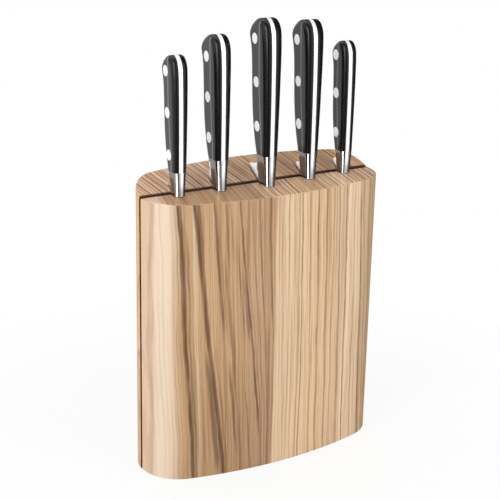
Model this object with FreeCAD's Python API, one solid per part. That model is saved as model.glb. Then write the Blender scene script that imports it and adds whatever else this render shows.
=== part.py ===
import FreeCAD, Part
import math
import os

# Knife block with five forged knives. Millimetres, +Z up.
# The origin is on the floor, under the middle of the block. -Y is the front.

# Block
block_length = 215.0        # along X
block_height = 230.0        # front half, and the rear half at the seam
front_depth = 43.0
rear_depth = 30.0
half_gap = 2.5              # shadow gap between the two halves
front_end_radius = 34.0     # of the oval outline's two ends
rear_end_radius = 25.0
rear_rise = 0.49            # slope of the rear half's top
edge_radius = 1.2
front_glue_lines = (-85.5, -8.3)

# Slots
slot_width = 3.6
slot_turn = 4.0             # the slots' turn from square to the seam, degrees
slot_clearance = 0.8        # at the spine and at the edge of each blade

# Dowels and spacer that hold the halves together
dowel_diameter = 8.0
dowel_length = 26.0
dowel_heights = (55.0, 175.0)
glue_clearance = 0.05
spacer_height = 12.0
spacer_inset = 14.0
spacer_lift = 4.0

# Knives
seat_gap = 0.3              # bolster above the block's top
tang_thickness = 4.0
blade_thickness = 2.4
tip_thickness = 1.0
edge_thickness = 0.4
foot_thickness = 8.5        # bolster where it meets the blade
handle_edge_radius = 4.0
rivet_diameter = 8.5
rivet_clearance = 0.02

# One entry per knife, from left to right. slot is the slot's place along the seam,
# spine is how far the blade's spine stands in front of the seam, and setback how far
# the bolster's foot stays in front of it. heel is the blade's height, heel_rise the
# heel's place above the block's top, and the two wides are the handle's thickness.
knives = [
    dict(name="utility", slot=-77.5, spine=12.0, blade=130.0, heel=21.0, heel_rise=7.0,
         bolster=18.5, setback=0.4, handle=88.5, butt=23.0, neck_wide=11.0, butt_wide=14.0,
         rivets=(31.0, 63.5, 95.0)),
    dict(name="boning", slot=-40.5, spine=12.0, blade=150.0, heel=24.0, heel_rise=10.0,
         bolster=24.0, setback=0.4, handle=96.0, butt=28.0, neck_wide=12.0, butt_wide=15.5,
         rivets=(40.5, 72.0, 103.0)),
    dict(name="chef", slot=0.6, spine=18.5, blade=200.0, heel=36.5, heel_rise=11.5,
         bolster=24.0, setback=3.5, handle=107.0, butt=28.5, neck_wide=12.5, butt_wide=17.5,
         rivets=(46.5, 81.5, 115.0)),
    dict(name="carving", slot=42.6, spine=13.5, blade=200.0, heel=26.5, heel_rise=8.5,
         bolster=21.0, setback=0.5, handle=106.0, butt=27.0, neck_wide=12.0, butt_wide=18.0,
         rivets=(43.5, 78.0, 111.0)),
    dict(name="paring", slot=79.0, spine=10.5, blade=100.0, heel=20.5, heel_rise=8.5,
         bolster=18.5, setback=0.5, handle=89.5, butt=21.0, neck_wide=11.5, butt_wide=14.0,
         rivets=(33.0, 65.5, 96.5)),
]

# The whole block is centred on the origin, so the seam lies off it.
half_length = block_length / 2
front_face = -(front_depth + half_gap + rear_depth) / 2
seam = front_face + front_depth + half_gap / 2
front_mate = seam - half_gap / 2
rear_mate = seam + half_gap / 2

up = FreeCAD.Vector(0, 0, 1)
right = FreeCAD.Vector(1, 0, 0)
back = FreeCAD.Vector(0, 1, 0)


def save(node, shape):
    shape.exportStep("parts/" + node + ".step")
    print(node, len(shape.Solids), round(shape.Volume, 1))


def prism(points, direction):
    wire = Part.makePolygon(points + [points[0]])
    return Part.Face(wire).extrude(direction)


def oval_half(mate, depth, end_radius, top):
    """Half an oval, from its mating face out to depth: a shallow arc between end arcs."""
    sign = math.copysign(1, depth)
    depth = abs(depth)
    reach = half_length - end_radius
    bow = (reach ** 2 + depth ** 2 - end_radius ** 2) / (2 * (depth - end_radius))
    lean = math.atan2(reach, bow - depth)

    def point(cx, cy, radius, angle):
        return FreeCAD.Vector(cx + radius * math.sin(angle),
                              mate + sign * (cy + radius * math.cos(angle)), 0)

    quarter = math.pi / 2
    ends = [point(reach, 0, end_radius, quarter), point(reach, 0, end_radius, lean),
            point(-reach, 0, end_radius, -lean), point(-reach, 0, end_radius, -quarter)]
    middles = [point(reach, 0, end_radius, (quarter + lean) / 2),
               point(0, depth - bow, bow, 0),
               point(-reach, 0, end_radius, -(quarter + lean) / 2)]
    edges = [Part.Arc(ends[i], middles[i], ends[i + 1]).toShape() for i in range(3)]
    edges.append(Part.makeLine(ends[3], ends[0]))
    return Part.Face(Part.Wire(edges)).extrude(up * top)


def round_outer_edges(solid, mate, z_low):
    """Rounds the edges round the top's and the bottom's outline, not those on the mate."""
    edges = []
    for edge in solid.Edges:
        box = edge.BoundBox
        on_mate = abs(box.YMax - mate) < 0.01 and abs(box.YMin - mate) < 0.01
        upright = box.ZLength > block_height * 0.5
        if not on_mate and not upright and (box.ZMin > z_low or box.ZMax < 1):
            edges.append(edge)
    return solid.makeFillet(edge_radius, edges)


def placed(shape, knife, z):
    """Turns a shape from a knife's own frame into its slot."""
    out = shape.copy()
    out.rotate(FreeCAD.Vector(), up, -slot_turn)
    out.translate(FreeCAD.Vector(knife["slot"], seam, z))
    return out


def slot_cutter(knife):
    front = -knife["spine"] - slot_clearance
    length = knife["heel"] + 2 * slot_clearance
    box = Part.makeBox(slot_width, length, block_height * 2,
                       FreeCAD.Vector(-slot_width / 2, front, -block_height / 2))
    return placed(box, knife, 0)


def slot_line(knife, y):
    return knife["slot"] + (y - seam) * math.tan(math.radians(slot_turn))


def between(left, right_side, low, high):
    """A tall prism between two upright planes, each given by its x at y low and y high."""
    return prism([FreeCAD.Vector(left[0], low, -50), FreeCAD.Vector(right_side[0], low, -50),
                  FreeCAD.Vector(right_side[1], high, -50), FreeCAD.Vector(left[1], high, -50)],
                 up * (block_height * 2))


def dowel_centres():
    """Midway between neighbouring slots, where no blade passes."""
    places = [knife["slot"] for knife in knives]
    return [((a + b) / 2, z) for a, b in zip(places, places[1:]) for z in dowel_heights]


def dowels(radius, length):
    out = []
    for x, z in dowel_centres():
        base = FreeCAD.Vector(x, seam - length / 2, z)
        out.append(Part.makeCylinder(radius, length, base, back))
    return out


def make_block():
    slots = Part.makeCompound([slot_cutter(knife) for knife in knives])
    bores = Part.makeCompound(dowels(dowel_diameter / 2 + glue_clearance,
                                     dowel_length + 2 * glue_clearance))

    front = oval_half(front_mate, -front_depth, front_end_radius, block_height)
    front = round_outer_edges(front, front_mate, block_height - 1)
    front = front.cut(slots).cut(bores)
    lines = (-block_length,) + front_glue_lines + (block_length,)
    for side, a, b in zip(("left", "middle", "right"), lines, lines[1:]):
        stave = front.common(between((a, a), (b, b), -block_length, block_length))
        save("front_stave_" + side, stave)

    rear = oval_half(rear_mate, rear_depth, rear_end_radius, block_height * 1.5)
    far = block_length
    wedge = prism([FreeCAD.Vector(-far, seam, block_height),
                   FreeCAD.Vector(-far, seam + far, block_height + far * rear_rise),
                   FreeCAD.Vector(-far, seam + far, block_height * 3),
                   FreeCAD.Vector(-far, seam, block_height * 3)], right * (2 * far))
    rear = rear.cut(wedge)
    rear = round_outer_edges(rear, rear_mate, block_height - 1)
    rear = rear.cut(slots).cut(bores)
    low, high = rear_mate - 20, rear_mate + rear_depth + 20
    lines = [(-far, -far)]
    lines += [(slot_line(knife, low), slot_line(knife, high)) for knife in knives]
    lines += [(far, far)]
    for i, (a, b) in enumerate(zip(lines, lines[1:])):
        save("rear_stave_%d" % (i + 1), rear.common(between(a, b, low, high)))

    save("joining_dowels", Part.makeCompound(dowels(dowel_diameter / 2, dowel_length)))
    spacer = Part.makeBox(block_length - 2 * spacer_inset, half_gap, spacer_height,
                          FreeCAD.Vector(spacer_inset - half_length, front_mate, spacer_lift))
    save("gap_spacer", spacer)


def handle_face(knife):
    """The side outline of the handle and tang, spine at the left, as a face at x = 0."""
    depth, height = knife["butt"], knife["handle"]
    shares = [(0.0, 0.0), (0.0, 0.32), (0.015, 0.62), (0.05, 0.84), (0.17, 0.955),
              (0.42, 1.0), (0.74, 0.972), (0.94, 0.92), (0.995, 0.882), (0.965, 0.835),
              (0.905, 0.775), (0.88, 0.70), (0.87, 0.58), (0.86, 0.42), (0.79, 0.21),
              (0.60, 0.0)]
    points = [FreeCAD.Vector(0, a * depth - knife["spine"], b * height + knife["bolster"])
              for a, b in shares]
    curve = Part.BSplineCurve()
    curve.interpolate(points)
    return Part.Face(Part.Wire([curve.toShape(), Part.makeLine(points[-1], points[0])]))


def handle_taper(knife, inner):
    """The wedge between the flat sides of the handle, from inner out on the +X side."""
    low = knife["bolster"]
    high = low + knife["handle"]
    y = -knife["spine"] - 20
    return prism([FreeCAD.Vector(inner, y, low), FreeCAD.Vector(knife["neck_wide"] / 2, y, low),
                  FreeCAD.Vector(knife["butt_wide"] / 2, y, high),
                  FreeCAD.Vector(knife["butt_wide"] / 2, y, high + 20),
                  FreeCAD.Vector(inner, y, high + 20)], back * 80)


def edge_radius_of(knife):
    """The long edges' radius, as far as the scale's thinnest end lets it be."""
    return min(handle_edge_radius, (knife["neck_wide"] - tang_thickness) / 2 - 0.3)


def make_scale(knife):
    """The right-hand scale. The left one is its mirror image."""
    inner = tang_thickness / 2
    face = handle_face(knife)
    face.translate(right * inner)
    body = face.extrude(right * knife["butt_wide"]).common(handle_taper(knife, inner))
    edges = []
    for edge in body.Edges:
        box = edge.BoundBox
        outer = box.XMin > knife["neck_wide"] / 2 - 0.2
        if outer and box.ZMax > knife["bolster"] + 1:
            edges.append(edge)
    body = body.makeFillet(edge_radius_of(knife), edges)
    return body.cut(rivet_bores(knife))


def rivet_places(knife):
    """Each rivet is in the middle of the handle's flat side, at its height."""
    face = handle_face(knife)
    places = []
    for z in knife["rivets"]:
        cut = face.common(Part.makeBox(2, 200, 0.1, FreeCAD.Vector(-1, -100, z)))
        places.append((cut.BoundBox.YMin * 0.40 + cut.BoundBox.YMax * 0.60, z))
    return places


def rivet_bores(knife):
    radius = rivet_diameter / 2 + rivet_clearance
    return Part.makeCompound([
        Part.makeCylinder(radius, 4 * knife["butt_wide"],
                          FreeCAD.Vector(-2 * knife["butt_wide"], y, z), right)
        for y, z in rivet_places(knife)])


def make_rivets(knife):
    taper = handle_taper(knife, 0)
    out = []
    for y, z in rivet_places(knife):
        half = Part.makeCylinder(rivet_diameter / 2, knife["butt_wide"],
                                 FreeCAD.Vector(0, y, z), right).common(taper)
        out.append(half.fuse(half.mirror(FreeCAD.Vector(), right)).removeSplitter())
    return Part.makeCompound(out)


def rounded_section(y_front, y_back, thickness, radius, z):
    """A rounded rectangle, level, as a wire."""
    half = thickness / 2
    x, y0, y1 = half - radius, y_front + radius, y_back - radius
    corners = [(x, y0, -90), (x, y1, 0), (-x, y1, 90), (-x, y0, 180)]
    edges, ends = [], []
    for cx, cy, start in corners:
        circle = Part.Circle(FreeCAD.Vector(cx, cy, z), up, radius)
        arc = Part.ArcOfCircle(circle, math.radians(start), math.radians(start + 90))
        edges.append(arc.toShape())
        ends.append((arc.StartPoint, arc.EndPoint))
    wire_edges = []
    for i, edge in enumerate(edges):
        wire_edges.append(edge)
        wire_edges.append(Part.makeLine(ends[i][1], ends[(i + 1) % 4][0]))
    return Part.Wire(wire_edges)


def make_blade(knife):
    """Flat forged blade with its spine in front, from inside the bolster to the tip."""
    spine, heel, length = -knife["spine"], knife["heel"], knife["blade"]
    top = knife["bolster"] * 0.8
    foot_back = -knife["setback"] - 2.5
    v = lambda share, z: FreeCAD.Vector(0, spine + share * heel, z)
    start = FreeCAD.Vector(0, spine + 0.6, top)
    knee = FreeCAD.Vector(0, spine + 0.6, -0.62 * length)
    tip = v(0.16, -length)
    nose = Part.BSplineCurve()
    nose.interpolate([knee, v(0.055, -0.86 * length), tip])
    edge = Part.BSplineCurve()
    edge.interpolate([tip, v(0.52, -0.84 * length), v(0.80, -0.60 * length),
                      v(0.95, -0.30 * length), v(1.0, 0)])
    corner = v(1.0, knife["heel_rise"])
    fin = Part.BSplineCurve()
    middle = FreeCAD.Vector(0, foot_back * 0.65 + corner.y * 0.35, top * 0.45 + corner.z * 0.55)
    end = FreeCAD.Vector(0, foot_back, top)
    fin.interpolate([corner, middle, end])
    wire = Part.Wire([Part.makeLine(start, knee), nose.toShape(), edge.toShape(),
                      Part.makeLine(v(1.0, 0), corner), fin.toShape(),
                      Part.makeLine(end, start)])
    flat = Part.Face(wire)
    flat.translate(right * -blade_thickness)
    flat = flat.extrude(right * (2 * blade_thickness))

    def section(spine_thickness, z):
        a, b = spine_thickness / 2, edge_thickness / 2
        y0, y1 = spine, spine + heel
        return Part.makePolygon([FreeCAD.Vector(-a, y0, z), FreeCAD.Vector(a, y0, z),
                                 FreeCAD.Vector(b, y1, z), FreeCAD.Vector(-b, y1, z),
                                 FreeCAD.Vector(-a, y0, z)])

    hollow = Part.makeLoft([section(blade_thickness, knife["bolster"]),
                            section(tip_thickness, -length - 1)], True, True)
    return flat.common(hollow)


def make_fin(knife):
    """The bolster's back thins into the heel of the blade."""
    spine = -knife["spine"]
    y0 = -knife["setback"] - 3.0
    y1 = y0 + knife["heel"] * 0.38
    high = knife["bolster"] * 0.8
    wires = []
    for y, half, low, top in ((y0, foot_thickness * 0.46, high * 0.25, high),
                              (y1, blade_thickness * 0.32, high * 0.62, high * 0.68)):
        wires.append(Part.makePolygon([
            FreeCAD.Vector(-half, y, low), FreeCAD.Vector(half, y, low),
            FreeCAD.Vector(half, y, top), FreeCAD.Vector(-half, y, top),
            FreeCAD.Vector(-half, y, low)]))
    return Part.makeLoft(wires, True, True)


def make_forging(knife):
    """Blade, bolster and full tang in one piece."""
    tang = handle_face(knife)
    tang.translate(right * (-tang_thickness / 2))
    tang = tang.extrude(right * tang_thickness)
    spine, high = -knife["spine"], knife["bolster"]
    neck = spine + 0.60 * knife["butt"]
    foot = -knife["setback"]
    sections = [rounded_section(spine, neck, knife["neck_wide"], edge_radius_of(knife), high),
                rounded_section(spine + 0.2, (neck + foot) / 2 - 0.4,
                                (knife["neck_wide"] + foot_thickness) / 2 - 0.5, 2.6, high * 0.45),
                rounded_section(spine + 0.3, foot, foot_thickness, 2.2, 0)]
    bolster = Part.makeLoft(sections, True, False)
    body = bolster.fuse([tang, make_blade(knife), make_fin(knife)]).removeSplitter()
    return body.cut(rivet_bores(knife))


def make_knife(knife):
    z = block_height + seat_gap
    scale = make_scale(knife)
    pieces = {"blade": make_forging(knife), "scale_right": scale,
              "scale_left": scale.mirror(FreeCAD.Vector(), right),
              "rivets": make_rivets(knife)}
    for name, shape in pieces.items():
        save(knife["name"] + "_" + name, placed(shape, knife, z))


os.makedirs("parts", exist_ok=True)
make_block()
for knife in knives:
    make_knife(knife)
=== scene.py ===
import math

import bpy
from mathutils import Matrix, Vector


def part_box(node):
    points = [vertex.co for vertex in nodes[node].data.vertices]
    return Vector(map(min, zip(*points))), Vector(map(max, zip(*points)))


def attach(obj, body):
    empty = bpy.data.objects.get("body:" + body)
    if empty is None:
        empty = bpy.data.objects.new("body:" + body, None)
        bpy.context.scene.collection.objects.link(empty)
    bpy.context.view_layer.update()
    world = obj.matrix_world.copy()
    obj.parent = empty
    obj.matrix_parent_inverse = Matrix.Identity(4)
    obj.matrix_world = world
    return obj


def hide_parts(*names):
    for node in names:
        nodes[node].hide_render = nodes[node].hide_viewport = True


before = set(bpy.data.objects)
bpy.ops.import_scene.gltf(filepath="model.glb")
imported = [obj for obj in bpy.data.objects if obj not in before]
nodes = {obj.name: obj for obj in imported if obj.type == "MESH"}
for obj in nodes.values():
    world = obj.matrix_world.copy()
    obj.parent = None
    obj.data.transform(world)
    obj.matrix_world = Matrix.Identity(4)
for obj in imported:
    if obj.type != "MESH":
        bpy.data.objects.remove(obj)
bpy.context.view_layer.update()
print("frame loaded,", len(nodes), "nodes")

knifeNames = ("utility", "boning", "chef", "carving", "paring")
topAt = 1000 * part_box("front_stave_middle")[1][2]      # the block's top, in mm
gapFront, gapBack = (1000 * corner[1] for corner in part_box("gap_spacer"))
seamAt = (gapFront + gapBack) / 2
gapHalf = (gapBack - gapFront) / 2


# small helpers for shader trees

def tint(red, green, blue):
    # a colour given the way a picker shows it, 0 to 255
    out = []
    for channel in (red, green, blue):
        share = channel / 255
        out.append(share / 12.92 if share <= 0.04045 else ((share + 0.055) / 1.055) ** 2.4)
    return (*out, 1.0)


def feed(tree, socket, value):
    if isinstance(value, bpy.types.NodeSocket):
        tree.links.new(value, socket)
    else:
        socket.default_value = value


def calc(tree, operation, *values, clamp=False):
    node = tree.nodes.new("ShaderNodeMath")
    node.operation = operation
    node.use_clamp = clamp
    for socket, value in zip(node.inputs, values):
        feed(tree, socket, value)
    return node.outputs[0]


def times(tree, first, *others):
    for other in others:
        first = calc(tree, "MULTIPLY", first, other)
    return first


def without(tree, share):
    return calc(tree, "SUBTRACT", 1.0, share)


def centred(tree, pattern, spread):
    # a pattern from 0 to 1 becomes plus or minus half the spread
    return times(tree, calc(tree, "SUBTRACT", pattern, 0.5), spread)


def distance(tree, value, start=0.0):
    if start:
        value = calc(tree, "SUBTRACT", value, start)
    return calc(tree, "ABSOLUTE", value)


def stretched(tree, place, size):
    node = tree.nodes.new("ShaderNodeVectorMath")
    node.operation = "MULTIPLY"
    feed(tree, node.inputs[0], place)
    node.inputs[1].default_value = size
    return node.outputs[0]


def noise(tree, place, size, detail=2.0, roughness=0.5, distortion=0.0):
    node = tree.nodes.new("ShaderNodeTexNoise")
    node.inputs["Scale"].default_value = 1.0
    node.inputs["Detail"].default_value = detail
    node.inputs["Roughness"].default_value = roughness
    node.inputs["Distortion"].default_value = distortion
    feed(tree, node.inputs["Vector"], stretched(tree, place, size))
    return node.outputs["Fac"]


def step(tree, value, low, high, toLow=0.0, toHigh=1.0):
    # a soft step between two values
    node = tree.nodes.new("ShaderNodeMapRange")
    node.interpolation_type = "SMOOTHSTEP"
    for name, amount in (("Value", value), ("From Min", low), ("From Max", high),
                         ("To Min", toLow), ("To Max", toHigh)):
        feed(tree, node.inputs[name], amount)
    return node.outputs["Result"]


def mix(tree, factor, first, second, mode="MIX"):
    node = tree.nodes.new("ShaderNodeMix")
    node.data_type = "RGBA"
    node.blend_type = mode
    feed(tree, node.inputs[0], factor)
    feed(tree, node.inputs[6], first)
    feed(tree, node.inputs[7], second)
    return node.outputs[2]


def ramp(tree, factor, stops, smooth="EASE"):
    node = tree.nodes.new("ShaderNodeValToRGB")
    node.color_ramp.interpolation = smooth
    elements = node.color_ramp.elements
    while len(elements) < len(stops):
        elements.new(0.5)
    for element, (position, colour) in zip(elements, stops):
        element.position = position
        element.color = colour
    feed(tree, node.inputs[0], factor)
    return node.outputs[0]


def bump(tree, height, strength, distance, under=None):
    node = tree.nodes.new("ShaderNodeBump")
    node.inputs["Strength"].default_value = strength
    node.inputs["Distance"].default_value = distance
    feed(tree, node.inputs["Height"], height)
    if under is not None:
        tree.links.new(under, node.inputs["Normal"])
    return node.outputs[0]


def newFinish(name):
    material = bpy.data.materials.new(name)
    material.use_nodes = True
    tree = material.node_tree
    tree.nodes.clear()
    output = tree.nodes.new("ShaderNodeOutputMaterial")
    surface = tree.nodes.new("ShaderNodeBsdfPrincipled")
    tree.links.new(surface.outputs[0], output.inputs[0])
    where = tree.nodes.new("ShaderNodeTexCoord")
    place = stretched(tree, where.outputs["Object"], (1000.0, 1000.0, 1000.0))   # in mm
    return material, tree, surface, place


def parts(tree, vector):
    node = tree.nodes.new("ShaderNodeSeparateXYZ")
    tree.links.new(vector, node.inputs[0])
    return node.outputs


def along(tree, place, direction, start=0.0):
    # millimetres along a direction, from a start
    node = tree.nodes.new("ShaderNodeVectorMath")
    node.operation = "DOT_PRODUCT"
    tree.links.new(place, node.inputs[0])
    node.inputs[1].default_value = direction
    return calc(tree, "SUBTRACT", node.outputs["Value"], start)


def pushed(tree, base, *pushes):
    # turns a normal by adding directions to it, each by its own amount
    for direction, amount in pushes:
        push = tree.nodes.new("ShaderNodeVectorMath")
        push.operation = "SCALE"
        push.inputs[0].default_value = direction
        tree.links.new(amount, push.inputs["Scale"])
        total = tree.nodes.new("ShaderNodeVectorMath")
        tree.links.new(base, total.inputs[0])
        tree.links.new(push.outputs[0], total.inputs[1])
        base = total.outputs[0]
    even = tree.nodes.new("ShaderNodeVectorMath")
    even.operation = "NORMALIZE"
    tree.links.new(base, even.inputs[0])
    return even.outputs[0]


def worldNormal(tree):
    return tree.nodes.new("ShaderNodeNewGeometry").outputs["Normal"]


def objectNormal(tree):
    return tree.nodes.new("ShaderNodeTexCoord").outputs["Normal"]


def paint(material, *names):
    for name in names:
        for holder in nodes[name].material_slots:
            holder.material = material


def rivetPlaces(node):
    # the middle and the points of each of the node's rivets, lowest first
    corners = sorted((vertex.co for vertex in nodes[node].data.vertices), key=lambda co: co.z)
    rows, last = [[]], None
    for corner in corners:
        if last is not None and corner.z - last > 0.004:
            rows.append([])
        rows[-1].append(corner)
        last = corner.z
    out = []
    for row in rows:
        low = Vector([min(co[i] for co in row) for i in range(3)])
        high = Vector([max(co[i] for co in row) for i in range(3)])
        out.append(((low + high) / 2, row))
    return out


def measureKnife(knife):
    # the axis runs through the rivets, from the left scale to the right one
    centre, row = rivetPlaces(knife + "_rivets")[0]
    leftEnd = [co for co in row if co.x < centre.x - 0.003]
    rightEnd = [co for co in row if co.x > centre.x + 0.003]
    axis = sum(rightEnd, Vector()) / len(rightEnd) - sum(leftEnd, Vector()) / len(leftEnd)
    axis.z = 0
    axis.normalize()
    back = Vector((0, 0, 1)).cross(axis)
    scale = [vertex.co for vertex in nodes[knife + "_scale_left"].data.vertices]
    return {
        "axis": axis,
        "back": back,
        "middle": 1000 * centre.dot(axis),                    # mm along the axis
        "spine": 1000 * min(co.dot(back) for co in scale),    # mm along back
        "neck": 1000 * min(co.z for co in scale),             # where the bolster ends
    }


knifeFacts = {knife: measureKnife(knife) for knife in knifeNames}


# ash boards
# tones: place across the block in mm and the wood's colour there, left to right.
# streaks: x at the top, x at the foot, width, strength, and the heights it runs between.
# patterns: cycles per mm along x, y and z, then detail and roughness.

frontAsh = {
    "tones": [
        # at the far left the wood is paler and also carries a painted highlight, and the very edge is a little
        # darker as painted shade
        (-107.5, (214, 181, 148)), (-103, (226, 204, 182)), (-97, (225, 202, 178)),
        (-92, (204, 173, 140)), (-87, (190, 154, 114)), (-60, (195, 157, 115)),
        (-40, (187, 149, 110)), (-24, (190, 153, 116)), (-11.4, (188, 151, 116)),
        (-10.2, (220, 189, 154)), (2, (227, 197, 162)), (20, (225, 192, 152)),
        (34, (225, 191, 151)), (48, (223, 189, 150)), (59, (219, 186, 148)),
        (63, (242, 214, 181)), (68, (234, 205, 171)), (76, (232, 201, 166)),
        (83, (216, 184, 146)), (92, (210, 177, 138)), (107.5, (210, 174, 134)),
    ],
    "streaks": [
        (-105.5, -105.5, 1.4, 0.35, 240, -10),
        (-90.5, -79.0, 2.4, 0.95, 240, -10), (-86.0, -76.5, 1.6, 0.55, 200, -10),
        (-93.5, -84.0, 1.2, 0.25, 240, 60),
        (-79.0, -54.0, 2.8, 0.95, 240, -10), (-76.0, -57.0, 1.8, 0.75, 240, 150),
        (-77.5, -59.0, 3.4, 0.75, 105, 5), (-71.5, -51.0, 1.5, 0.45, 110, -10),
        (-63.5, -44.0, 1.9, 0.80, 240, 128), (-61.0, -41.5, 1.2, 0.40, 210, 120),
        (-55.0, -37.0, 1.3, 0.55, 236, 182), (-51.0, -33.0, 1.2, 0.45, 226, 186),
        (-58.0, -38.0, 2.2, 0.50, 178, -10), (-62.0, -41.5, 1.8, 0.75, 90, 20),
        (-47.0, -27.0, 1.3, 0.45, 190, 120), (-44.5, -22.0, 2.0, 0.55, 168, 112),
        (-43.0, -19.5, 1.4, 0.85, 240, 30), (-40.5, -17.0, 1.0, 0.30, 240, 40),
        (-52.0, -29.0, 1.3, 0.45, 70, -10),
        (-33.0, -16.0, 1.0, 0.35, 240, 60), (-26.5, -13.0, 1.2, 0.60, 240, 20),
        (-17.0, -9.0, 1.2, 0.60, 240, 130), (-20.0, -14.0, 1.6, 0.45, 120, -10),
        (-30.0, -20.0, 1.4, 0.45, 60, -10),
        (-5.0, -2.5, 0.7, 0.25, 240, -10), (0.5, 3.0, 0.7, 0.30, 240, -10),
        (6.0, 9.0, 0.7, 0.25, 240, -10), (10.5, 13.0, 0.9, 0.35, 240, -10),
        (13.0, 16.5, 1.0, 0.50, 240, -10), (20.5, 27.0, 1.0, 0.50, 240, -10),
        (29.0, 34.5, 1.3, 0.55, 240, -10), (38.0, 43.5, 1.1, 0.50, 240, -10),
        (45.5, 49.0, 0.9, 0.38, 240, -10), (51.5, 57.5, 1.3, 0.55, 240, -10),
        (59.5, 65.0, 1.1, 0.70, 240, -10), (69.0, 74.5, 1.0, 0.45, 240, -10),
        (76.5, 85.0, 1.3, 0.75, 240, -10), (80.5, 91.0, 1.2, 0.35, 240, -10),
        (88.0, 94.0, 1.6, 0.35, 240, -10), (98.0, 101.0, 2.0, 0.30, 240, -10),
    ],
    "calmTo": -96.0,                 # left of here the grain is faint
    "footShade": 0.45,               # how much the middle board darkens at its foot
    "lean": -0.30,                   # which way the rings run on the top
    "ringPitch": 0.22,
    # the end grain's own tone, also lifted as painted light on the top
    "topToneAndLight": (1.08, 0.99, 0.90, 1.0),
    "topPitch": 0.46,
    "faintTo": -16.0,                # left of here the top's lines are faint
    "seed": 3.0,
}

rearAsh = {
    "tones": [
        (-107.5, (214, 168, 118)), (-95, (208, 174, 140)), (-60, (206, 174, 145)),
        (-30, (214, 182, 152)), (0, (216, 184, 150)), (30, (214, 180, 143)),
        (60, (208, 172, 133)), (85, (204, 166, 124)), (107.5, (206, 170, 130)),
    ],
    "streaks": [
        (-101, -98, 1.2, 0.45, 300, -10), (-88, -85, 1.4, 0.50, 300, -10),
        (-66, -60, 1.3, 0.45, 300, -10), (-49, -45, 1.1, 0.35, 300, -10),
        (-27, -20, 1.3, 0.45, 300, -10), (-8, -4, 1.0, 0.35, 300, -10),
        (14, 18, 1.2, 0.45, 300, -10), (30, 32, 1.1, 0.40, 300, -10),
        (52, 60, 1.3, 0.50, 300, -10), (68, 73, 1.2, 0.45, 300, -10),
        (86, 90, 1.5, 0.55, 300, -10), (99, 101, 1.4, 0.45, 300, -10),
    ],
    "calmTo": -120.0,
    "footShade": 0.0,
    "lean": 0.45,
    "ringPitch": 0.36,
    "topToneAndLight": (1.10, 1.02, 0.95, 1.0),
    "topPitch": 0.40,
    "faintTo": -130.0,
    "seed": 11.0,
}


ash = {
    "halfSpan": 110.0,
    "height": 230.0,
    "drift": -6.0,                   # mm the rings move from top to foot
    "middleBoard": ((-88.0, -84.0), (-9.5, -11.5)),
    "streakFade": 14.0,
    "slotsWithin": (97.0, 95.0),
    "gapEdgeShade": 0.97,                   # how dark the painted shade along the gap's edge is
    "ring": (0.66, 0.58, 0.49, 1.0),
    "betweenRings": (1.0, 0.93, 0.82, 1.0),
    "fibre": (0.60, 0.50, 0.39, 1.0),
    "foot": (0.62, 0.57, 0.50, 1.0),
    "streak": (0.25, 0.165, 0.095, 1.0),
    "pore": (0.62, 0.50, 0.40, 1.0),
    "fleck": (0.80, 0.76, 0.70, 1.0),
    "paleLine": (1.0, 0.90, 0.78, 1.0),
    "darkLine": (0.52, 0.37, 0.26, 1.0),
    # painted shade for the gap, the slot walls and the gap's edge
    "inside": (0.11, 0.07, 0.045, 1.0),
}

ashPatterns = {
    "wander": ((0.012, 0.012, 0.011), 2.0, 0.5),
    "ripple": ((0.08, 0.08, 0.022), 3.0, 0.55),
    "fibres": ((0.80, 1.0, 0.35), 3.0, 0.55),
    "ragged": ((0.9, 0.9, 0.055), 4.0, 0.7),
    "breaks": ((0.30, 0.30, 0.018), 3.0, 0.6),
    "pores": ((2.3, 2.3, 0.11), 2.0, 0.55),
    "flecks": ((0.9, 0.9, 0.5), 3.0, 0.6),
}


def addStreaks(tree, look, place, across, fall, z):
    # the dark heartwood streaks, each ragged at its sides
    ragged = centred(tree, noise(tree, place, *ashPatterns["ragged"]), 2.2)
    streakAt = calc(tree, "ADD", across, ragged)
    fade = ash["streakFade"]
    dark = None
    for top, foot, width, strength, high, low in look["streaks"]:
        centre = calc(tree, "MULTIPLY_ADD", fall, foot - top, top)
        off = distance(tree, calc(tree, "SUBTRACT", streakAt, centre))
        body = times(tree, step(tree, off, width * 1.05, width * 0.25, 0.0, strength),
                     step(tree, z, low - fade, low + fade), step(tree, z, high + fade, high - fade))
        dark = body if dark is None else calc(tree, "MAXIMUM", dark, body)
    breaks = noise(tree, place, *ashPatterns["breaks"])
    return times(tree, dark, step(tree, breaks, 0.28, 0.55, 0.50, 1.0))


def findGapShade(tree, facing, x, y, onTop):
    # painted shade: the mating faces, the slots' walls and the edges along the gap are darkened as painted
    # shade
    fromSeam = distance(tree, y, seamAt)
    mating = times(tree, step(tree, distance(tree, facing[1]), 0.95, 0.99),
                   step(tree, fromSeam, gapHalf + 0.5, gapHalf + 0.3))
    walls = times(tree, step(tree, distance(tree, facing[0]), 0.95, 0.99),
                  step(tree, distance(tree, x), *ash["slotsWithin"]))
    gapEdgeShade = times(tree, step(tree, fromSeam, gapHalf + 1.5, gapHalf + 0.8), ash["gapEdgeShade"], onTop)
    return calc(tree, "MAXIMUM", calc(tree, "MAXIMUM", mating, walls), gapEdgeShade)


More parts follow.
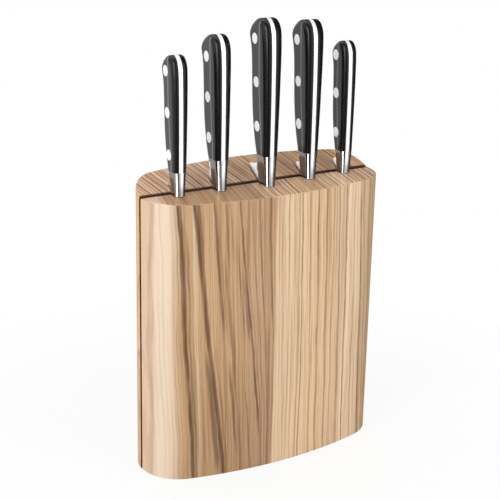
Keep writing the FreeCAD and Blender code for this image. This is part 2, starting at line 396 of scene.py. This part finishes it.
def makeAsh(name, look):
    material, tree, surface, place = newFinish(name)
    x, y, z = parts(tree, place)
    facing = parts(tree, objectNormal(tree))
    onTop = step(tree, facing[2], 0.55, 0.9)

    # rings run straight through the board, so on the top they lean back
    across = calc(tree, "ADD", x, times(tree, y, look["lean"], onTop))
    wander = centred(tree, noise(tree, place, *ashPatterns["wander"]), 5.0)
    ripple = centred(tree, noise(tree, place, *ashPatterns["ripple"]), 1.8)
    across = calc(tree, "ADD", across, calc(tree, "ADD", wander, ripple))

    halfSpan = ash["halfSpan"]
    share = calc(tree, "DIVIDE", calc(tree, "ADD", across, halfSpan), 2 * halfSpan)
    stops = [((at + halfSpan) / (2 * halfSpan), tint(*colour)) for at, colour in look["tones"]]
    wood = ramp(tree, share, stops, "LINEAR")

    # growth rings: irregular bands that keep their place down the board
    fall = calc(tree, "DIVIDE", calc(tree, "SUBTRACT", ash["height"], z), ash["height"])
    join = tree.nodes.new("ShaderNodeCombineXYZ")
    feed(tree, join.inputs[0], calc(tree, "MULTIPLY_ADD", fall, ash["drift"], across))
    feed(tree, join.inputs[1], look["seed"])
    feed(tree, join.inputs[2], times(tree, z, 0.02))
    ringPlace = join.outputs[0]
    rings = noise(tree, ringPlace, (look["ringPitch"], 1.0, 0.05), 4.0, 0.62)
    fibres = noise(tree, ringPlace, *ashPatterns["fibres"])
    calm = step(tree, across, look["calmTo"], look["calmTo"] + 6.0, 0.35, 1.0)
    ringMask = times(tree, calm, step(tree, rings, 0.50, 0.68, 0.0, 0.42))
    fibreMask = times(tree, calm, step(tree, fibres, 0.50, 0.58, 0.0, 0.62))
    wood = mix(tree, ringMask, wood, ash["ring"], "MULTIPLY")
    wood = mix(tree, step(tree, rings, 0.46, 0.32, 0.0, 0.22), wood, ash["betweenRings"], "SCREEN")
    wood = mix(tree, fibreMask, wood, ash["fibre"], "MULTIPLY")

    # the middle board darkens towards its foot
    leftSide, rightSide = ash["middleBoard"]
    footMask = times(tree, step(tree, z, 130.0, 15.0, 0.0, look["footShade"]),
                     step(tree, across, *rightSide), step(tree, across, *leftSide))
    wood = mix(tree, footMask, wood, ash["foot"], "MULTIPLY")

    # on the end grain the streaks are much fainter
    streaks = times(tree, addStreaks(tree, look, place, across, fall, z),
                    calc(tree, "MULTIPLY_ADD", onTop, -0.62, 1.0))
    wood = mix(tree, streaks, wood, ash["streak"], "MULTIPLY")

    # open pores: short dashes on the face, dots on the end grain
    pores = times(tree, step(tree, noise(tree, place, *ashPatterns["pores"]), 0.60, 0.72),
                  step(tree, rings, 0.42, 0.62, 0.25, 1.0))
    wood = mix(tree, times(tree, pores, 0.40), wood, ash["pore"], "MULTIPLY")
    flecks = noise(tree, place, *ashPatterns["flecks"])
    wood = mix(tree, step(tree, flecks, 0.35, 0.65, 0.0, 0.14), wood, ash["fleck"], "MULTIPLY")

    # the rings end in pale and dark lines on the top
    lines = noise(tree, ringPlace, (look["topPitch"], 1.0, 0.0), 2.5, 0.55)
    clear = step(tree, across, look["faintTo"], look["faintTo"] + 6.0, 0.28, 1.0)
    pale = times(tree, step(tree, lines, 0.53, 0.60, 0.0, 0.36), clear)
    deep = times(tree, step(tree, lines, 0.50, 0.41, 0.0, 0.90), clear)
    # the end grain's own tone, lifted above 1 as painted light on the top
    endWood = mix(tree, 1.0, wood, look["topToneAndLight"], "MULTIPLY")
    endWood = mix(tree, pale, endWood, ash["paleLine"], "SCREEN")
    endWood = mix(tree, deep, endWood, ash["darkLine"], "MULTIPLY")
    wood = mix(tree, onTop, wood, endWood)
    # painted shade in the gap, on the slot walls and along the gap's edge
    wood = mix(tree, findGapShade(tree, facing, x, y, onTop), wood, ash["inside"], "MULTIPLY")
    feed(tree, surface.inputs["Base Color"], wood)

    sheen = calc(tree, "MULTIPLY_ADD", pores, 0.16, 0.40)
    feed(tree, surface.inputs["Roughness"], calc(tree, "ADD", sheen, centred(tree, rings, 0.14)))
    relief = calc(tree, "SUBTRACT", times(tree, fibres, 0.35), pores)
    feed(tree, surface.inputs["Normal"], bump(tree, relief, 0.22, 0.00012))
    return material


paint(makeAsh("ashFront", frontAsh), "front_stave_left", "front_stave_middle", "front_stave_right")
paint(makeAsh("ashRear", rearAsh), *["rear_stave_%d" % (i + 1) for i in range(6)])
print("ash boards done")


# beech dowels and the dark strip in the gap

def makeBeech():
    material, tree, surface, place = newFinish("beechDowel")
    grain = noise(tree, place, (0.9, 0.08, 0.9), 4.0, 0.6)
    flecks = noise(tree, place, (2.6, 0.35, 2.6), 2.0)
    wood = ramp(tree, grain, [(0.30, tint(196, 150, 104)), (0.52, tint(222, 182, 138)),
                              (0.72, tint(206, 160, 116))])
    wood = mix(tree, step(tree, flecks, 0.58, 0.70, 0.0, 0.5), wood, tint(150, 106, 70))
    feed(tree, surface.inputs["Base Color"], wood)
    feed(tree, surface.inputs["Roughness"], calc(tree, "MULTIPLY_ADD", grain, 0.2, 0.5))
    feed(tree, surface.inputs["Normal"], bump(tree, grain, 0.3, 0.0001))
    return material


def makeDarkStrip():
    material, tree, surface, place = newFinish("darkStrip")
    grain = noise(tree, place, (0.06, 0.8, 0.9), 4.0, 0.6)
    wood = ramp(tree, grain, [(0.3, tint(30, 20, 15)), (0.7, tint(54, 36, 26))])
    feed(tree, surface.inputs["Base Color"], wood)
    feed(tree, surface.inputs["Roughness"], calc(tree, "MULTIPLY_ADD", grain, 0.2, 0.55))
    feed(tree, surface.inputs["Normal"], bump(tree, grain, 0.3, 0.0001))
    return material


paint(makeBeech(), "joining_dowels")
paint(makeDarkStrip(), "gap_spacer")
print("dowels and strip done")


# steel: polished bolster and tang above the block, ground blade below

steelLook = {
    "colour": (0.80, 0.80, 0.815, 1.0),
    "cloudy": (0.70, 0.71, 0.73, 1.0),
    "scratched": (0.55, 0.56, 0.58, 1.0),
    # near white for the tang and heel: a satin finish, and also a painted highlight
    "satinAndPaintedHighlight": (0.97, 0.97, 0.98, 1.0),
    "cheekReflection": (0.34, 0.30, 0.27, 1.0),     # painted reflection: the bolster's sides are darkened as if they see the dark of the room
    # painted dark reflection line, also used as painted shade on the tang's edges
    "paintedDarkLine": (0.03, 0.03, 0.03, 1.0),
    "frontReflectionHigh": (0.42, 0.42, 0.42, 1.0),  # painted reflection: the bolster's front is dimmed, near the handle
    "frontReflectionLow": (0.17, 0.16, 0.155, 1.0),  # and more near the block
    "polish": 0.13,          # roughness of the bolster and tang
    "ground": 0.27,          # roughness of the blade
    "crown": 0.115,          # how fast the bolster's front turns away, per mm from the middle
    "lift": 0.24,            # and how far it turns up
    "heelLift": 0.40,
    "tangShadeAt": (1.50, 1.72),
    "paintedDarkLineAt": -2.35,
    # mm from the spine to the back of the bolster
    "foot": {"utility": 11.6, "boning": 11.6, "chef": 15.0, "carving": 13.0, "paring": 10.0},
}

steelPatterns = {
    "cloud": ((0.10, 0.10, 0.07), 3.0),
    "scratches": ((2.0, 0.12, 6.0), 3.0, 0.7),
    "hairlines": ((5.0, 5.0, 0.12), 2.0, 0.6),
}


def makeForgedSteel(knife):
    material, tree, surface, place = newFinish(knife + "Steel")
    facts = knifeFacts[knife]
    foot, neck = steelLook["foot"][knife], facts["neck"]
    z = parts(tree, place)[2]
    aside = along(tree, place, facts["axis"], facts["middle"])
    depth = along(tree, place, facts["back"], facts["spine"])
    normal = worldNormal(tree)
    facing = parts(tree, normal)

    # regions: above the block, the tang, the bolster, and the blade's heel behind it
    polished = step(tree, z, topAt - 0.5, topAt + 0.8)
    heel = times(tree, step(tree, depth, foot - 1.0, foot + 0.6), step(tree, z, neck - 2.0, neck - 4.0))
    tang = step(tree, z, neck - 0.4, neck + 0.4)
    bolster = times(tree, polished, without(tree, tang))
    body = times(tree, bolster, without(tree, heel))
    satinAndPaintedHighlight = times(tree, calc(tree, "MAXIMUM", heel, tang), polished)

    cloud = noise(tree, place, *steelPatterns["cloud"])
    scratches = noise(tree, place, *steelPatterns["scratches"])
    hairlines = noise(tree, place, *steelPatterns["hairlines"])
    ground = calc(tree, "MULTIPLY_ADD", scratches, 0.14, steelLook["ground"] - 0.07)
    bright = calc(tree, "MULTIPLY_ADD", cloud, 0.07, steelLook["polish"] - 0.035)
    bright = calc(tree, "MULTIPLY_ADD", step(tree, hairlines, 0.60, 0.74), 0.05, bright)
    rough = calc(tree, "ADD", times(tree, polished, bright), times(tree, without(tree, polished), ground))
    metal = mix(tree, step(tree, cloud, 0.3, 0.7, 0.0, 0.25), steelLook["colour"], steelLook["cloudy"])
    metal = mix(tree, step(tree, scratches, 0.52, 0.70, 0.0, 0.18), metal, steelLook["scratched"])
    # the tang and heel are made near white as a painted highlight, with a satin roughness below
    metal = mix(tree, satinAndPaintedHighlight, metal, steelLook["satinAndPaintedHighlight"])

    # painted reflection and shade: dark sides as a painted reflection, a painted dark reflection line beside
    # the front, and painted shade on the tang's edges where it meets the scales
    # painted reflection: the bolster's sides darkened
    cheekReflection = times(tree, step(tree, distance(tree, facing[0]), 0.55, 0.92), body)
    metal = mix(tree, cheekReflection, metal, steelLook["cheekReflection"], "MULTIPLY")
    # painted reflection: a dark line beside the bolster's front
    paintedDarkLine = times(tree, step(tree, distance(tree, aside, steelLook["paintedDarkLineAt"]), 0.75, 0.30), bolster, 0.92)
    # painted shade along the tang's edges next to the scales
    corner = times(tree, step(tree, distance(tree, aside), *steelLook["tangShadeAt"]), tang, polished)
    metal = mix(tree, calc(tree, "MAXIMUM", paintedDarkLine, corner), metal, steelLook["paintedDarkLine"])
    # painted reflection: the bolster's front is dimmed, more near the block and at its right edge
    lower = calc(tree, "MAXIMUM", step(tree, z, neck - 5.0, topAt + 2.0), step(tree, aside, 2.0, 3.2))
    paintedFrontReflection = mix(tree, lower, steelLook["frontReflectionHigh"], steelLook["frontReflectionLow"])
    metal = mix(tree, times(tree, body, step(tree, aside, -1.9, -1.3)), metal, paintedFrontReflection, "MULTIPLY")
    feed(tree, surface.inputs["Base Color"], metal)
    # the tang is nearly non-metal, so its painted highlight stays white
    feed(tree, surface.inputs["Metallic"], calc(tree, "MULTIPLY_ADD", times(tree, tang, polished), -0.80, 1.0))
    feed(tree, surface.inputs["Roughness"], calc(tree, "MULTIPLY_ADD", satinAndPaintedHighlight, 0.16, rough))

    # the bolster is crowned, so it catches the light unevenly
    crown = times(tree, aside, steelLook["crown"], step(tree, facing[1], -0.30, -0.80), bolster)
    lift = step(tree, distance(tree, facing[2]), 0.7, 0.5, 0.0, steelLook["lift"])
    lift = calc(tree, "MULTIPLY_ADD", heel, steelLook["heelLift"], lift)
    shaped = pushed(tree, normal, (facts["axis"], crown), ((0, 0, 1), times(tree, lift, bolster)))
    grain = times(tree, scratches, calc(tree, "MULTIPLY_ADD", polished, -0.9, 1.0))
    feed(tree, surface.inputs["Normal"], bump(tree, grain, 0.12, 0.00004, shaped))
    return material


for knife in knifeNames:
    paint(makeForgedSteel(knife), knife + "_blade")
print("steel done")


# black handle scales

scaleLook = {
    "colour": tint(11, 11, 12),
    "worn": tint(20, 20, 22),
    "rubbed": tint(58, 58, 60),
    # painted light: the flat side is lighter, and the ridge line is a painted highlight
    "flat": tint(31, 31, 33),
    "ridgeHighlight": tint(122, 122, 124),
    "roughness": 0.22,
    "specular": 0.38,
    "crown": 0.085,          # how fast the spine side turns away, per mm from the middle
    "ridge": (6.5, 10.0),    # mm behind the spine, at the bolster and further up
    "ridgeRise": 60.0,       # mm over which it moves back
}


def makeHandleBlack(knife):
    material, tree, surface, place = newFinish(knife + "Black")
    facts = knifeFacts[knife]
    grain = noise(tree, place, (1.4, 1.4, 0.9), 4.0, 0.65)
    cloud = noise(tree, place, (0.07, 0.07, 0.035), 3.0)
    rubs = noise(tree, place, (0.9, 0.9, 0.06), 3.0, 0.7)
    black = mix(tree, step(tree, cloud, 0.35, 0.70, 0.0, 0.35), scaleLook["colour"], scaleLook["worn"])
    black = mix(tree, step(tree, rubs, 0.60, 0.75, 0.0, 0.20), black, scaleLook["rubbed"])
    rough = calc(tree, "MULTIPLY_ADD", grain, 0.10, scaleLook["roughness"] - 0.05)
    feed(tree, surface.inputs["Roughness"], calc(tree, "MULTIPLY_ADD", cloud, 0.08, rough))
    surface.inputs["Specular IOR Level"].default_value = scaleLook["specular"]

    # painted highlight and painted light: a light line between the spine side and the flat side is a painted
    # highlight, and the flat side is painted lighter
    z = parts(tree, place)[2]
    aside = along(tree, place, facts["axis"], facts["middle"])
    depth = along(tree, place, facts["back"], facts["spine"])
    plain = worldNormal(tree)
    facing = parts(tree, plain)
    side = step(tree, distance(tree, facing[0]), 0.60, 0.90)
    ridge = step(tree, z, facts["neck"], facts["neck"] + scaleLook["ridgeRise"], *scaleLook["ridge"])
    past = calc(tree, "SUBTRACT", depth, ridge)
    black = mix(tree, times(tree, step(tree, past, -0.3, 0.6), side), black, scaleLook["flat"])
    paintedRidgeHighlight = times(tree, step(tree, distance(tree, past), 1.3, 0.3, 0.0, 0.85), side)
    black = mix(tree, paintedRidgeHighlight, black, scaleLook["ridgeHighlight"])
    feed(tree, surface.inputs["Base Color"], black)

    # the spine side is crowned from the tang outwards
    push = times(tree, aside, scaleLook["crown"], step(tree, facing[1], -0.30, -0.80))
    shaped = pushed(tree, plain, (facts["axis"], push))
    feed(tree, surface.inputs["Normal"], bump(tree, grain, 0.10, 0.00006, shaped))
    return material


for knife in knifeNames:
    paint(makeHandleBlack(knife), knife + "_scale_left", knife + "_scale_right")
print("scales done")


# rivets

rivetLook = {
    "diameter": 0.0085,
    "chamfer": 0.92,         # the flat end's share of the diameter
    "proud": 0.00012,
    "crown": 0.00016,
    "rings": (0.72, 0.45),   # how the crown narrows
    "sides": 48,
    "bright": (1.0, 1.0, 1.0, 1.0),
    "dull": (0.72, 0.72, 0.74, 1.0),
    "metallic": 0.55,
}


def makeRivetSteel():
    material, tree, surface, place = newFinish("rivetSteel")
    swirl = noise(tree, place, (3.0, 3.0, 3.0), 3.0, 0.6)
    cloud = noise(tree, place, (0.25, 0.25, 0.25), 2.0)
    metal = mix(tree, step(tree, swirl, 0.45, 0.70, 0.0, 0.35), rivetLook["bright"], rivetLook["dull"])
    feed(tree, surface.inputs["Base Color"], metal)
    surface.inputs["Metallic"].default_value = rivetLook["metallic"]
    rough = calc(tree, "MULTIPLY_ADD", swirl, 0.12, 0.32)
    feed(tree, surface.inputs["Roughness"], calc(tree, "MULTIPLY_ADD", cloud, 0.06, rough))
    feed(tree, surface.inputs["Normal"], bump(tree, swirl, 0.08, 0.00004))
    return material


rivetSteel = makeRivetSteel()


def buildRivetRow():
    group = bpy.data.node_groups.new("rivetRow", "GeometryNodeTree")
    face = group.interface
    face.new_socket("Centres", in_out="INPUT", socket_type="NodeSocketGeometry")
    for name, kind in (("Diameter", "NodeSocketFloat"), ("Length", "NodeSocketFloat"),
                       ("Chamfer", "NodeSocketFloat"), ("Proud", "NodeSocketFloat"),
                       ("Crown", "NodeSocketFloat"), ("Taper", "NodeSocketFloat"),
                       ("Sides", "NodeSocketInt"), ("Turn", "NodeSocketVector"),
                       ("Finish", "NodeSocketMaterial")):
        face.new_socket(name, in_out="INPUT", socket_type=kind)
    face.new_socket("Rivets", in_out="OUTPUT", socket_type="NodeSocketGeometry")

    def add(kind, **settings):
        node = group.nodes.new(kind)
        for name, value in settings.items():
            setattr(node, name, value)
        return node

    def wire(source, target):
        group.links.new(source, target)

    given = add("NodeGroupInput")
    result = add("NodeGroupOutput")
    radius = add("ShaderNodeMath", operation="MULTIPLY")
    wire(given.outputs["Diameter"], radius.inputs[0])
    radius.inputs[1].default_value = 0.5
    shank = add("GeometryNodeMeshCylinder", fill_type="NGON")
    wire(given.outputs["Sides"], shank.inputs["Vertices"])
    wire(radius.outputs[0], shank.inputs["Radius"])
    wire(given.outputs["Length"], shank.inputs["Depth"])
    ends = add("FunctionNodeBooleanMath", operation="OR")
    wire(shank.outputs["Top"], ends.inputs[0])
    wire(shank.outputs["Bottom"], ends.inputs[1])
    shape, picked = shank.outputs["Mesh"], ends.outputs[0]
    # chamfer, flat, then a low crown
    outer, inner = rivetLook["rings"]
    for lift, shrink in ((given.outputs["Proud"], given.outputs["Chamfer"]),
                         (given.outputs["Crown"], outer), (given.outputs["Crown"], inner)):
        pull = add("GeometryNodeExtrudeMesh", mode="FACES")
        wire(shape, pull.inputs["Mesh"])
        wire(picked, pull.inputs["Selection"])
        wire(lift, pull.inputs["Offset Scale"])
        pull.inputs["Individual"].default_value = False
        narrow = add("GeometryNodeScaleElements", domain="FACE")
        wire(pull.outputs["Mesh"], narrow.inputs["Geometry"])
        wire(pull.outputs["Top"], narrow.inputs["Selection"])
        if isinstance(shrink, float):
            narrow.inputs["Scale"].default_value = shrink
        else:
            wire(shrink, narrow.inputs["Scale"])
        shape, picked = narrow.outputs["Geometry"], pull.outputs["Top"]
    # the ends follow the handle's taper
    where = add("GeometryNodeInputPosition")
    split = add("ShaderNodeSeparateXYZ")
    wire(where.outputs[0], split.inputs[0])
    side = add("ShaderNodeMath", operation="SIGN")
    wire(split.outputs[2], side.inputs[0])
    rise = add("ShaderNodeMath", operation="MULTIPLY")
    wire(split.outputs[1], rise.inputs[0])
    wire(given.outputs["Taper"], rise.inputs[1])
    lean = add("ShaderNodeMath", operation="MULTIPLY")
    wire(side.outputs[0], lean.inputs[0])
    wire(rise.outputs[0], lean.inputs[1])
    offset = add("ShaderNodeCombineXYZ")
    wire(lean.outputs[0], offset.inputs[2])
    skew = add("GeometryNodeSetPosition")
    wire(shape, skew.inputs["Geometry"])
    wire(offset.outputs[0], skew.inputs["Offset"])

    stretch = add("GeometryNodeInputNamedAttribute", data_type="FLOAT")
    stretch.inputs["Name"].default_value = "stretch"
    size = add("ShaderNodeCombineXYZ")
    size.inputs[0].default_value = 1.0
    size.inputs[1].default_value = 1.0
    wire(stretch.outputs["Attribute"], size.inputs[2])
    place = add("GeometryNodeInstanceOnPoints")
    wire(given.outputs["Centres"], place.inputs["Points"])
    wire(skew.outputs["Geometry"], place.inputs["Instance"])
    wire(given.outputs["Turn"], place.inputs["Rotation"])
    wire(size.outputs[0], place.inputs["Scale"])
    real = add("GeometryNodeRealizeInstances")
    wire(place.outputs[0], real.inputs[0])
    coat = add("GeometryNodeSetMaterial")
    wire(real.outputs[0], coat.inputs["Geometry"])
    wire(given.outputs["Finish"], coat.inputs["Material"])
    wire(coat.outputs[0], result.inputs[0])
    return group


rivetRow = buildRivetRow()


def makeRivets(knife):
    node = knife + "_rivets"
    places = rivetPlaces(node)
    axis = knifeFacts[knife]["axis"]
    lengths = []
    for centre, row in places:
        middle = [abs((co - centre).dot(axis)) for co in row if abs(co.z - centre.z) < 0.0012]
        lengths.append(2 * max(middle))
    taper = (lengths[-1] - lengths[0]) / 2 / (places[-1][0].z - places[0][0].z)
    turn = Matrix((Vector((0, 0, 1)).cross(axis), Vector((0, 0, 1)), axis)).transposed().to_euler()

    mesh = bpy.data.meshes.new(knife + "RivetCentres")
    mesh.from_pydata([centre for centre, row in places], [], [])
    stretch = mesh.attributes.new("stretch", "FLOAT", "POINT")
    for i, length in enumerate(lengths):
        stretch.data[i].value = length / lengths[1]
    holder = bpy.data.objects.new(knife + "RivetHolder", mesh)
    bpy.context.scene.collection.objects.link(holder)
    modifier = holder.modifiers.new("rivetRow", "NODES")
    modifier.node_group = rivetRow
    values = {"Diameter": rivetLook["diameter"], "Length": lengths[1], "Chamfer": rivetLook["chamfer"],
              "Proud": rivetLook["proud"], "Crown": rivetLook["crown"], "Taper": taper,
              "Sides": rivetLook["sides"], "Turn": tuple(turn), "Finish": rivetSteel}
    for item in rivetRow.interface.items_tree:
        if item.item_type == "SOCKET" and item.in_out == "INPUT" and item.name in values:
            modifier[item.identifier] = values[item.name]
    holder.update_tag()
    bpy.context.view_layer.update()
    solid = bpy.data.meshes.new_from_object(holder.evaluated_get(bpy.context.evaluated_depsgraph_get()))
    bpy.data.objects.remove(holder)
    solid.name = knife + "RivetHeads"
    for polygon in solid.polygons:
        polygon.use_smooth = True
    solid.set_sharp_from_angle(angle=math.radians(28))
    rivets = bpy.data.objects.new(knife + "Rivets", solid)
    bpy.context.scene.collection.objects.link(rivets)
    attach(rivets, knife + "_knife")
    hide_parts(node)
    return rivets


for knife in knifeNames:
    rivets = makeRivets(knife)
    print(knife, "rivets", len(rivets.data.vertices), "points")


# floor, world and lamps

floorLook = {
    "size": 6.0,
    "colour": (0.97, 0.97, 0.97, 1.0),
    "white": 0.86,           # how much of the shadow is washed out
    "shadowTo": 0.40,        # metres from the middle where the shadow has gone
}


def makeFloor():
    half = floorLook["size"] / 2
    mesh = bpy.data.meshes.new("floor")
    mesh.from_pydata([(-half, -half, 0), (half, -half, 0), (half, half, 0), (-half, half, 0)],
                     [], [(0, 1, 2, 3)])
    floor = bpy.data.objects.new("floor", mesh)
    bpy.context.scene.collection.objects.link(floor)
    material = bpy.data.materials.new("paleFloor")
    material.use_nodes = True
    tree = material.node_tree
    tree.nodes.clear()
    output = tree.nodes.new("ShaderNodeOutputMaterial")
    paper = tree.nodes.new("ShaderNodeBsdfDiffuse")
    paper.inputs["Color"].default_value = floorLook["colour"]
    # seen straight on, the paper is white all the way out, and near the block it keeps the shadow
    white = tree.nodes.new("ShaderNodeEmission")
    ray = tree.nodes.new("ShaderNodeLightPath")
    where = tree.nodes.new("ShaderNodeTexCoord")
    reach = tree.nodes.new("ShaderNodeVectorMath")
    reach.operation = "LENGTH"
    tree.links.new(where.outputs["Object"], reach.inputs[0])
    share = step(tree, reach.outputs["Value"], floorLook["shadowTo"] * 0.4, floorLook["shadowTo"],
                 floorLook["white"], 1.0)
    both = tree.nodes.new("ShaderNodeMixShader")
    tree.links.new(times(tree, share, ray.outputs["Is Camera Ray"]), both.inputs[0])
    tree.links.new(paper.outputs[0], both.inputs[1])
    tree.links.new(white.outputs[0], both.inputs[2])
    tree.links.new(both.outputs[0], output.inputs[0])
    mesh.materials.append(material)
    floor.visible_glossy = False
    return floor


studio = {
    "fill": 0.61,            # even light from all round
    # what polished metal sees, by compass angle: 0 is the front, minus is the left
    "bands": [(-180, 0.95), (-172, 0.95), (-164, 0.92), (-142, 0.92), (-134, 1.0), (-92, 1.0),
              (-86, 0.04), (-20, 0.04), (-8, 0.95), (52, 1.0), (66, 0.08), (125, 0.06),
              (150, 0.50), (165, 0.95), (180, 0.95)],
}


# name, place, aim, width, height and power of each soft box
lamps = [
    ("leftBox", (-1.35, -0.55, 0.75), (0, 0, 0.15), 0.7, 1.3, 14.0),
    ("rightBox", (0.75, -1.5, 0.9), (0, 0, 0.15), 0.9, 1.2, 10.0),
    ("topBox", (0.1, 0.25, 1.4), (0, 0, 0.2), 0.9, 0.9, 3.2),
]


def makeWorld():
    world = bpy.data.worlds.new("studio")
    bpy.context.scene.world = world
    world.use_nodes = True
    tree = world.node_tree
    tree.nodes.clear()
    output = tree.nodes.new("ShaderNodeOutputWorld")
    fill = tree.nodes.new("ShaderNodeBackground")
    fill.inputs["Strength"].default_value = studio["fill"]
    seen = tree.nodes.new("ShaderNodeBackground")
    ray = tree.nodes.new("ShaderNodeLightPath")
    either = calc(tree, "MAXIMUM", ray.outputs["Is Camera Ray"],
                  calc(tree, "MAXIMUM", ray.outputs["Is Glossy Ray"], ray.outputs["Is Transmission Ray"]))
    where = tree.nodes.new("ShaderNodeTexCoord")
    x, y = parts(tree, where.outputs["Generated"])[:2]
    angle = calc(tree, "ARCTAN2", x, times(tree, y, -1.0))
    share = calc(tree, "MULTIPLY_ADD", angle, 0.5 / math.pi, 0.5)
    stops = [((at + 180) / 360, (level, level, level, 1.0)) for at, level in studio["bands"]]
    white = (1.0, 1.0, 1.0, 1.0)
    feed(tree, seen.inputs["Color"], mix(tree, ray.outputs["Is Glossy Ray"], white, ramp(tree, share, stops)))
    both = tree.nodes.new("ShaderNodeMixShader")
    tree.links.new(either, both.inputs[0])
    tree.links.new(fill.outputs[0], both.inputs[1])
    tree.links.new(seen.outputs[0], both.inputs[2])
    tree.links.new(both.outputs[0], output.inputs[0])
    world.cycles.sampling_method = "NONE"


def makeLamp(name, at, towards, width, height, power):
    light = bpy.data.lights.new(name, "AREA")
    light.shape = "RECTANGLE"
    light.size = width
    light.size_y = height
    light.energy = power
    lamp = bpy.data.objects.new(name, light)
    bpy.context.scene.collection.objects.link(lamp)
    lamp.location = at
    lamp.rotation_euler = (Vector(towards) - Vector(at)).to_track_quat("-Z", "Y").to_euler()
    return lamp


makeFloor()
makeWorld()
for lamp in lamps:
    makeLamp(*lamp)
print("studio done")


# camera

cameraLook = {
    "at": (-0.5202, -0.8137, 0.4887),
    "yaw": 32.0,             # from +Y towards +X
    "pitch": 18.0715,        # down
    "roll": -1.2255,
    "lens": 89.85,
}


def makeCamera():
    yaw, pitch, roll = (math.radians(cameraLook[name]) for name in ("yaw", "pitch", "roll"))
    forward = Vector((math.sin(yaw) * math.cos(pitch), math.cos(yaw) * math.cos(pitch), -math.sin(pitch)))
    right = Vector((math.cos(yaw), -math.sin(yaw), 0))
    down = forward.cross(right)
    side = math.cos(roll) * right + math.sin(roll) * down
    under = -math.sin(roll) * right + math.cos(roll) * down
    data = bpy.data.cameras.new("camera")
    data.lens = cameraLook["lens"]
    data.sensor_width = 36.0
    camera = bpy.data.objects.new("camera", data)
    bpy.context.scene.collection.objects.link(camera)
    turn = Matrix((side, -under, -forward)).transposed().to_4x4()
    camera.matrix_world = Matrix.Translation(cameraLook["at"]) @ turn
    bpy.context.scene.camera = camera


makeCamera()
bpy.context.scene.view_settings.view_transform = "Standard"
print("camera done")
